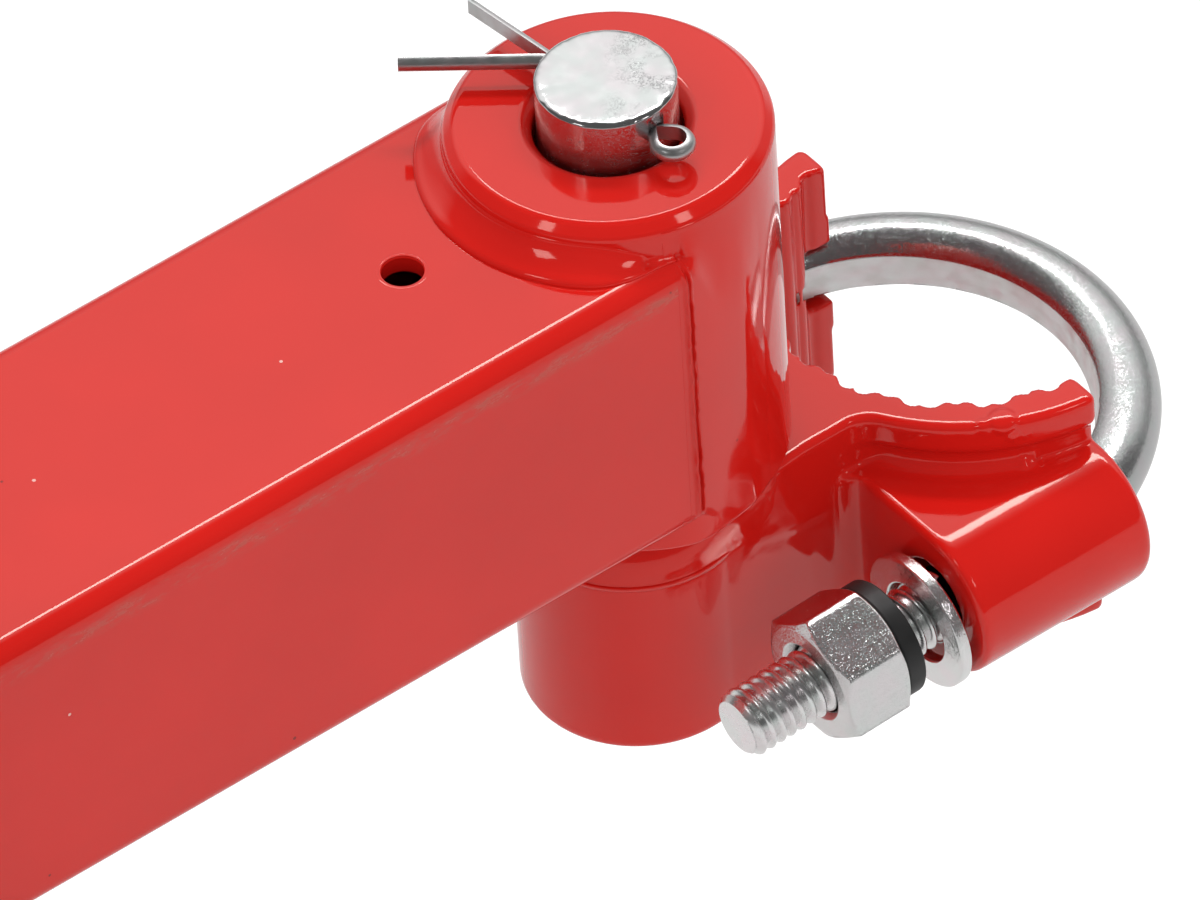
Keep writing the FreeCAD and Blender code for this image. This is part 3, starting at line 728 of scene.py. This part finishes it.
nut_zinc = zinc_plate("nut_zinc", tone=0.89, dull=0.19, grain=0.8, spangle=17000.0, scratches=0.4)
washer_zinc = zinc_plate("washer_zinc", tone=0.98, dull=0.13, grain=0.8, spangle=14000.0, scratches=0.5)
ring_black = matte_black("ring_black")
for name, leg in (("near", leg_y), ("far", -leg_y)):
    nut = piece_from(hex_nut(leg, nut_turns[name]), "hex_nut_" + name, [nut_zinc], "clamp")
    keep_flats_flat(nut, flat_weight)
    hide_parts("u_bolt_nut_" + name)
    ring_shape = flat_ring(nut_near_x - ring_height, ring_height, ring_inner, ring_outer, (0.0, leg, 0.0),
                           ring_steps)
    ring = piece_from(ring_shape, "black_ring_" + name, [ring_black], "clamp")
    keep_flats_flat(ring, flat_weight)
    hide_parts("lock_ring_" + name)
    washer_shape = flat_ring(washer_near_x, washer_height, washer_bore, washer_outer,
                             (0.0, leg, -washer_hang), washer_steps)
    washer = piece_from(washer_shape, "plain_washer_" + name, [washer_zinc], "clamp")
    keep_flats_flat(washer, flat_weight)
    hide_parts("flat_washer_" + name)


# Arm tube with its end plate
# A square steel tube, closed at its outer end by a welded plate, with a vent hole near each end of its top.
# The same red coat is smooth here, with a haze of dust rubbed in along the upper corners of its sides.

tube_half = 0.025
tube_top = 0.0790
tube_bottom = 0.0290
tube_corner = 0.0032
tube_peel = 0.5
vent_places = [Vector(mount["pos_m"]) for mount in frame["record"]["mounts"] if mount["kind"] == "bore"]
vent_radius = 0.0031
vent_steps = 64
vent_lip_outer = vent_radius + 0.0006
vent_lip_crest = vent_radius + 0.0002
vent_lip_bore = vent_radius - 0.0001
vent_lip_mouth = vent_radius - 0.00012
vent_lip_mouth_depth = 0.0003
vent_lip_height = 0.00004
vent_lip_depth = 0.0007
vent_lip_rounding = 0.00012


def band_mask(tree, place, axis, low, high, softness):
    """A soft-edged band between two places along one axis."""
    along = put(tree, "ShaderNodeSeparateXYZ", {"Vector": place}).outputs[axis]
    rise = mapped(tree, along, low - softness, low + softness, interpolation_type="SMOOTHSTEP")
    fall = mapped(tree, along, high - softness, high + softness, 1.0, 0.0, interpolation_type="SMOOTHSTEP")
    return reckon(tree, "MULTIPLY", rise, fall)


def dusty_coat(name):
    """The red coat of the tube with patchy dust along the upper part of its sides."""
    dust_low = 0.0732
    dust_high = 0.0762
    dust_edge = 0.0011
    dust_brown = (0.33, 0.13, 0.095, 1.0)
    dust_cover = 0.5
    dust_dullness = 0.8
    patches_per_metre = (220.0, 220.0, 560.0)
    patch_edge = (0.46, 0.70)
    material = powder_coat(name, tube_peel)
    tree, surface, film = parts_of(material)
    place = object_place(tree)
    band = band_mask(tree, place, "Z", dust_low, dust_high, dust_edge)
    stretch = put(tree, "ShaderNodeMapping", {"Vector": place, "Scale": patches_per_metre})
    patches = clouds(tree, stretch.outputs["Vector"], scale=1.0, detail=5.0, roughness=0.65)
    haze = reckon(tree, "MULTIPLY", band, mapped(tree, patches, *patch_edge, 0.0, dust_cover))
    dull = reckon(tree, "MULTIPLY", haze, dust_dullness)
    feed(tree, surface, {"Base Color": blended(tree, haze, film["Colour"], dust_brown),
                         "Roughness": reckon(tree, "ADD", film["Roughness"], dull)})
    return material


tube_coat = dusty_coat("tube_powder_coat")
arm_coat = powder_coat("arm_powder_coat", tube_peel)
cad["arm_tube"].data.materials[0] = tube_coat
for node in ("arm_end_plate", "end_plate_weld"):
    cad[node].data.materials[0] = arm_coat
lip_outline = [(tube_top - vent_lip_depth, vent_lip_bore), (tube_top - vent_lip_mouth_depth, vent_lip_mouth),
               (tube_top + vent_lip_height, vent_lip_crest), (tube_top, vent_lip_outer),
               (tube_top - vent_lip_depth, vent_lip_outer)]
for number, place in enumerate(vent_places):
    lip_shape = lathe(lip_outline, (place.x, place.y, 0.0), z_axis, vent_steps)
    round_corners(lip_shape, vent_lip_rounding)
    lip = piece_from(lip_shape, "vent_hole_lip_" + str(number + 1), [arm_coat], "arm")
    keep_flats_flat(lip, flat_weight)


# Pivot sleeve
# A thick turned sleeve that swings on the pin, with a chamfer round its top and a wide mouth to its bore.
# The coat has rounded its edges a little.

sleeve_outer = 0.0232
sleeve_bore = 0.0106
sleeve_mouth = 0.0015
sleeve_top = 0.0860
sleeve_bottom = 0.0244
sleeve_top_chamfer = 0.0017
sleeve_bottom_chamfer = 0.0010
sleeve_rounding = 0.0006
sleeve_rounding_segments = 5
sleeve_outline = [(sleeve_bottom + sleeve_mouth, sleeve_bore), (sleeve_bottom, sleeve_bore + sleeve_mouth),
                  (sleeve_bottom, sleeve_outer - sleeve_bottom_chamfer),
                  (sleeve_bottom + sleeve_bottom_chamfer, sleeve_outer),
                  (sleeve_top - sleeve_top_chamfer, sleeve_outer),
                  (sleeve_top, sleeve_outer - sleeve_top_chamfer),
                  (sleeve_top, sleeve_bore + sleeve_mouth), (sleeve_top - sleeve_mouth, sleeve_bore)]
sleeve_shape = lathe(sleeve_outline, pivot_foot, z_axis, turned_steps)
round_corners(sleeve_shape, sleeve_rounding, sleeve_rounding_segments)
sleeve = piece_from(sleeve_shape, "pivot_sleeve_coated", [arm_coat], "arm")
keep_flats_flat(sleeve, flat_weight)
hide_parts("pivot_sleeve")


# Welds round the sleeve
# A weld collar fills the corner between the sleeve and the tube's top, and another its bottom. On each side
# the tube's edge is filled out flush with the sleeve, with a narrow bead on the joint and a foot below it.

collar_end = math.radians(75)
collar_taper_start = math.radians(46)
collar_end_share = 0.16
collar_steps = 140
collar_ripple = 0.03
collar_ripples_per_radian = 4
collar_ripple_shift = 100
collar_profile = [(-0.0006, 0.0047), (0.0000, 0.0046), (0.0001, 0.0042), (0.00035, 0.0037), (0.0008, 0.0031),
                  (0.0014, 0.0025), (0.0020, 0.0020), (0.0026, 0.0015), (0.0031, 0.0012), (0.0035, 0.0010),
                  (0.0038, 0.0008), (0.00405, 0.0005), (0.00415, 0.0002), (0.00418, -0.0004),
                  (-0.0006, -0.0004)]
collar_crater = Vector((pivot_x + 0.0100, 0.0219, 0.0800))
crater_radius = 0.0008
crater_depth = 0.0006


def weld_collar(face_z, way):
    """A bead turned round the sleeve, narrower towards its two ends, with a slight ripple and a crater."""
    bm = bmesh.new()
    start = Vector((math.cos(-collar_end), math.sin(-collar_end), 0.0))
    rim = []
    for out, rise in collar_profile:
        point = start * (sleeve_outer + out)
        rim.append(bm.verts.new((pivot_x + point.x, point.y, face_z + way * rise)))
    edges = [bm.edges.new(pair) for pair in zip(rim, rim[1:] + rim[:1])]
    bmesh.ops.spin(bm, geom=rim + edges, cent=pivot_foot, axis=z_axis, angle=2 * collar_end,
                   steps=collar_steps, use_merge=False)
    bmesh.ops.remove_doubles(bm, verts=bm.verts, dist=merge_distance)
    for vert in bm.verts:
        angle = math.atan2(vert.co.y, vert.co.x - pivot_x)
        out = math.hypot(vert.co.y, vert.co.x - pivot_x) - sleeve_outer
        rise = (vert.co.z - face_z) * way
        ripple_place = Vector((angle * collar_ripples_per_radian, face_z * collar_ripple_shift, 0.0))
        share = 1 - (1 - collar_end_share) * soft_step(abs(angle), collar_taper_start, collar_end)
        share *= 1 + collar_ripple * noise.noise(ripple_place)
        reach = sleeve_outer + (out * share if out > 0 else out)
        vert.co.x = pivot_x + reach * math.cos(angle)
        vert.co.y = reach * math.sin(angle)
        vert.co.z = face_z + way * (rise * share if rise > 0 else rise)
    bmesh.ops.holes_fill(bm, edges=[edge for edge in bm.edges if edge.is_boundary], sides=0)
    bmesh.ops.recalc_face_normals(bm, faces=bm.faces)
    bm.normal_update()
    for vert in bm.verts:
        away = (vert.co - collar_crater).length
        vert.co -= vert.normal * crater_depth * math.exp(-(away / crater_radius) ** 2)
    return bm


for name, face_z, way in (("top", tube_top, 1), ("bottom", tube_bottom, -1)):
    collar = piece_from(weld_collar(face_z, way), "weld_collar_" + name, [arm_coat], "arm")
    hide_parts("sleeve_weld_" + name)

fill_columns = 70
fill_rows = 150
fill_low = 0.0251
fill_high = 0.0842
fill_leans = [(0.00548, 5.5), (-0.0040, 11.5), (-0.0056, 24.0), (-0.0110, 28.3)]
fill_steps = 90
fill_step_slack = 1e-9
fill_skin = 0.00002
fill_dive_skins = 3
fill_dive_across = 0.75
fill_dive_rise = 0.95
fill_thickness = 0.0026
fill_corner_share = 0.035
fill_chamfer = 0.0007
fill_fade_low = 0.0660
fill_fade_seam = 0.0775
fill_fade_high = 0.0838
fill_fade_share = 0.35
foot_high = 0.0320
foot_start = math.radians(38)
foot_start_reach = 0.0239
foot_end = math.radians(88)
foot_dive_skins = 4
foot_dive_across = 0.6
foot_columns = 70
foot_rows = 24
foot_blur = [math.radians(turn) for turn in range(-6, 7)]
seam_x = 0.0060
seam_half_width = 0.0016
seam_columns_share = 0.5
seam_low = 0.0308
seam_high = 0.0790
seam_end = 0.001
seam_height = 0.00070
seam_ridge_offset = 0.00044
seam_ridge_width = 0.00025
seam_wander = 0.00016
seam_wander_place = (0.3, 0.7, 260)
seam_unevenness = 0.4
seam_uneven_places = [(4.1, 2.7, 420), (1.3, 5.2, 950)]


def tube_side(z):
    """How far out the tube's side stands at a height, with its rounded corners."""
    over = max(z - (tube_top - tube_corner), (tube_bottom + tube_corner) - z)
    if over <= 0:
        return tube_half
    return tube_half - tube_corner + math.sqrt(max(0.0, tube_corner ** 2 - over ** 2))


def fill_drops():
    """Places across the fill with the drop of its surface below the tube's side, from its leans."""
    reach = fill_leans[0][0] - fill_leans[-1][0]
    drops = [(fill_leans[0][0], 0.0)]
    for step in range(1, fill_steps + 1):
        x = fill_leans[0][0] - reach * step / fill_steps
        for (begin, begin_lean), (end, end_lean) in zip(fill_leans, fill_leans[1:]):
            if begin >= x >= end - fill_step_slack:
                lean = begin_lean + (end_lean - begin_lean) * (begin - x) / (begin - end)
        drops.append((x, drops[-1][1] + reach / fill_steps * math.tan(math.radians(lean))))
    return drops


fill_table = fill_drops()
fill_start_x = fill_table[0][0]
fill_end_x = fill_table[-1][0]


def fill_cut(z):
    """How far the chamfer along the fill's low edge takes its outside in at a height."""
    return max(0.0, fill_low + fill_chamfer - z)


def seam_lift(x, z):
    """The height of the bead along the joint: two uneven ridges that wander a little."""
    across, along, waves_per_metre = seam_wander_place
    beside = x - seam_x - seam_wander * noise.noise(Vector((across, along, z * waves_per_metre)))
    uneven = 1.0
    for across, along, bumps_per_metre in seam_uneven_places:
        uneven += seam_unevenness * noise.noise(Vector((across, along, z * bumps_per_metre)))
    ends = soft_step(z, seam_low, seam_low + seam_end) * (1 - soft_step(z, seam_high - seam_end, seam_high))
    ridge = 0.0
    for edge in (-seam_ridge_offset, seam_ridge_offset):
        ridge += math.exp(-((beside - edge) / seam_ridge_width) ** 2)
    return seam_height * ends * uneven * ridge


def fill_point(across, rise):
    """A place on the weld fill, from the tube's side at 0 to the sleeve at 1, and from low to high."""
    z = fill_low + (fill_high - fill_low) * rise
    if across < seam_columns_share:
        x = seam_x + seam_half_width * (1 - 2 * across / seam_columns_share)
    else:
        begin = seam_x - seam_half_width
        x = begin + (fill_end_x - begin) * (across - seam_columns_share) / (1 - seam_columns_share)
    share = max(0.0, (fill_start_x - x) / (fill_start_x - fill_end_x))
    y = tube_side(z)
    if share > 0.0:
        step = min(fill_steps - 1, int(share * fill_steps))
        (low_x, low_drop), (high_x, high_drop) = fill_table[step], fill_table[step + 1]
        y = tube_half - low_drop - (high_drop - low_drop) * (low_x - x) / (low_x - high_x)
        y += (tube_side(z) - tube_half) * math.exp(-share / fill_corner_share)
    angle = math.atan2(y, x)
    stands_out = max(0.0, math.hypot(x, y) - sleeve_outer)
    beside_seam = 1 - soft_step(share, 0.0, fill_fade_share)
    fade_start = fill_fade_low + (fill_fade_seam - fill_fade_low) * beside_seam
    stands_out *= 1 - soft_step(z, fade_start, fill_fade_high)
    dive = max(soft_step(share, fill_dive_across, 1.0), soft_step(rise, fill_dive_rise, 1.0))
    reach = sleeve_outer - fill_cut(z) + stands_out + fill_skin * (1 - fill_dive_skins * dive)
    return Vector((pivot_x + reach * math.cos(angle), reach * math.sin(angle) + seam_lift(x, z), z))


foot_outline = [(foot_start, foot_start_reach)]
for x, fall in fill_table:
    foot_outline.append((math.atan2(tube_half - fall, x), math.hypot(x, tube_half - fall)))


def foot_reach(angle):
    """The flush reach at an angle, averaged over a small turn so that the corner below the seam is round."""
    total = 0.0
    for turn in foot_blur:
        place = max(angle + turn, foot_start)
        for (low, low_reach), (high, high_reach) in zip(foot_outline, foot_outline[1:]):
            if low <= place <= high:
                total += low_reach + (high_reach - low_reach) * (place - low) / (high - low)
                break
    return total / len(foot_blur)


def foot_point(across, rise):
    """A place on the foot of the fill, from under the tube at 0 to the fill's flush face at 1."""
    z = fill_low + (foot_high - fill_low) * rise
    angle = foot_start + (foot_end - foot_start) * across
    dive = soft_step(across, foot_dive_across, 1.0)
    reach = foot_reach(angle) - fill_cut(z) - fill_skin * foot_dive_skins * dive
    return Vector((pivot_x + reach * math.cos(angle), reach * math.sin(angle), z))


def side_sheet(side, columns, rows, place_at):
    """A sheet of points laid out by a function, on one side of the arm, facing outwards."""
    bm = bmesh.new()
    bmesh.ops.create_grid(bm, x_segments=columns, y_segments=rows, size=1.0)
    for vert in bm.verts:
        place = place_at((vert.co.x + 1) / 2, (vert.co.y + 1) / 2)
        vert.co = Vector((place.x, side * place.y, place.z))
    bmesh.ops.recalc_face_normals(bm, faces=bm.faces)
    bm.normal_update()
    middle = max(bm.faces, key=lambda face: face.calc_center_median().y * side)
    if middle.normal.y * side < 0:
        bmesh.ops.reverse_faces(bm, faces=bm.faces)
    return bm


for name, side in (("near", 1), ("far", -1)):
    sheets = [side_sheet(side, fill_columns, fill_rows, fill_point),
              side_sheet(side, foot_columns, foot_rows, foot_point)]
    fill = piece_from(joined(sheets), "side_weld_fill_" + name, [arm_coat], "arm")
    wall = fill.modifiers.new("wall", "SOLIDIFY")
    wall.thickness = fill_thickness
    wall.offset = -1.0
    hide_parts("sleeve_weld_" + name)


# Studio
# A long lens looks down on the swivel end of the arm from its near side. The floor and the sweep behind are
# white, the room in front is dark, and one soft box hangs over the back with two smaller ones in front.

camera_eye = Vector((1.33726, 1.79162, 2.14805))
camera_aim = Vector((0.06415, 0.0, 0.02468))
camera_roll = math.radians(-3.514)
camera_data = bpy.data.cameras.new("camera")
camera_data.sensor_width = 36.0
camera_data.lens = 652.8
camera = bpy.data.objects.new("camera", camera_data)
bpy.context.scene.collection.objects.link(camera)
level = (camera_aim - camera_eye).to_track_quat("-Z", "Y").to_matrix().to_4x4()
camera.matrix_world = Matrix.Translation(camera_eye) @ level @ Matrix.Rotation(camera_roll, 4, "Z")
bpy.context.scene.camera = camera
bpy.context.scene.view_settings.view_transform = "Standard"

floor_z = -0.16
floor_half = 30.0
floor_grey = (0.68, 0.68, 0.68, 1.0)
floor_roughness = 0.9
floor_glow = 0.4
floor_mirrored_share = 0.1
studio_white = (1.0, 1.0, 1.0, 1.0)
floor_bm = bmesh.new()
bmesh.ops.create_grid(floor_bm, x_segments=1, y_segments=1, size=floor_half,
                      matrix=Matrix.Translation((0.0, 0.0, floor_z)))
floor = object_of(floor_bm, "floor")
floor_white, floor_tree, floor_surface = new_material("floor_white")
floor_rays = put(floor_tree, "ShaderNodeLightPath", {}).outputs
floor_seen = reckon(floor_tree, "MAXIMUM", floor_rays["Is Camera Ray"], floor_rays["Is Transmission Ray"])
floor_mirrored = reckon(floor_tree, "MULTIPLY", floor_rays["Is Glossy Ray"], floor_mirrored_share)
floor_shown = reckon(floor_tree, "MAXIMUM", floor_seen, floor_mirrored)
floor_light = reckon(floor_tree, "MULTIPLY", floor_shown, floor_glow)
feed(floor_tree, floor_surface, {
    "Base Color": floor_grey, "Roughness": floor_roughness, "Specular IOR Level": 0.0,
    "Emission Color": studio_white, "Emission Strength": floor_light})
floor.data.materials.append(floor_white)

sweep_side = (-0.58, -0.81, 0.0)
sweep_edge = (0.28, 0.45)
sweep_heights = (0.20, 0.60)
sweep_glossy = (0.45, 1.36)
sweep_soft = 0.4
room_soft = 1.02
room_glossy = 0.12
world = bpy.data.worlds.new("studio")
bpy.context.scene.world = world
world.use_nodes = True
sky = world.node_tree
sky_rays = put(sky, "ShaderNodeLightPath", {}).outputs
sky_way = put(sky, "ShaderNodeTexCoord", {}).outputs["Generated"]
sky_height = put(sky, "ShaderNodeSeparateXYZ", {"Vector": sky_way}).outputs["Z"]
sweep_share = mapped(sky, vector_reckon(sky, "DOT_PRODUCT", "Value", sky_way, sweep_side), *sweep_edge)
sweep_level = mapped(sky, sky_height, *sweep_heights, *sweep_glossy)
sky_soft = mapped(sky, sweep_share, 0.0, 1.0, room_soft, sweep_soft)
sky_glossy = mapped(sky, sweep_share, 0.0, 1.0, room_glossy, sweep_level)
sky_mirror = put(sky, "ShaderNodeMix", {"Factor": sky_rays["Is Glossy Ray"], 2: sky_soft, 3: sky_glossy})
sky_clear = reckon(sky, "MAXIMUM", sky_rays["Is Camera Ray"], sky_rays["Is Transmission Ray"])
sky_seen = put(sky, "ShaderNodeMix", {"Factor": sky_clear, 2: sky_mirror.outputs[0], 3: 1.0})
feed(sky, sky.nodes["Background"], {"Color": studio_white, "Strength": sky_seen.outputs[0]})

lamp_target = Vector((0.06, 0.0, 0.03))
lamp_distance = 4.0
soft_boxes = [
    ("back_soft_box", Vector((-0.38, -0.39, 0.84)), 3.20, 0.50, 13.0),
    ("left_soft_box", Vector((0.74, 0.08, 0.66)), 0.50, 0.85, 5.0),
    ("right_soft_box", Vector((-0.19, 0.73, 0.66)), 0.50, 0.85, 5.0),
]
for name, way, width, height, radiance in soft_boxes:
    lamp = bpy.data.lights.new(name, "AREA")
    lamp.shape = "RECTANGLE"
    lamp.size = width
    lamp.size_y = height
    lamp.energy = radiance * math.pi * width * height
    lamp_object = bpy.data.objects.new(name, lamp)
    bpy.context.scene.collection.objects.link(lamp_object)
    lamp_object.location = lamp_target + way.normalized() * lamp_distance
    lamp_object.rotation_euler = (-way).to_track_quat("-Z", "Y").to_euler()
    lamp_object.visible_camera = False
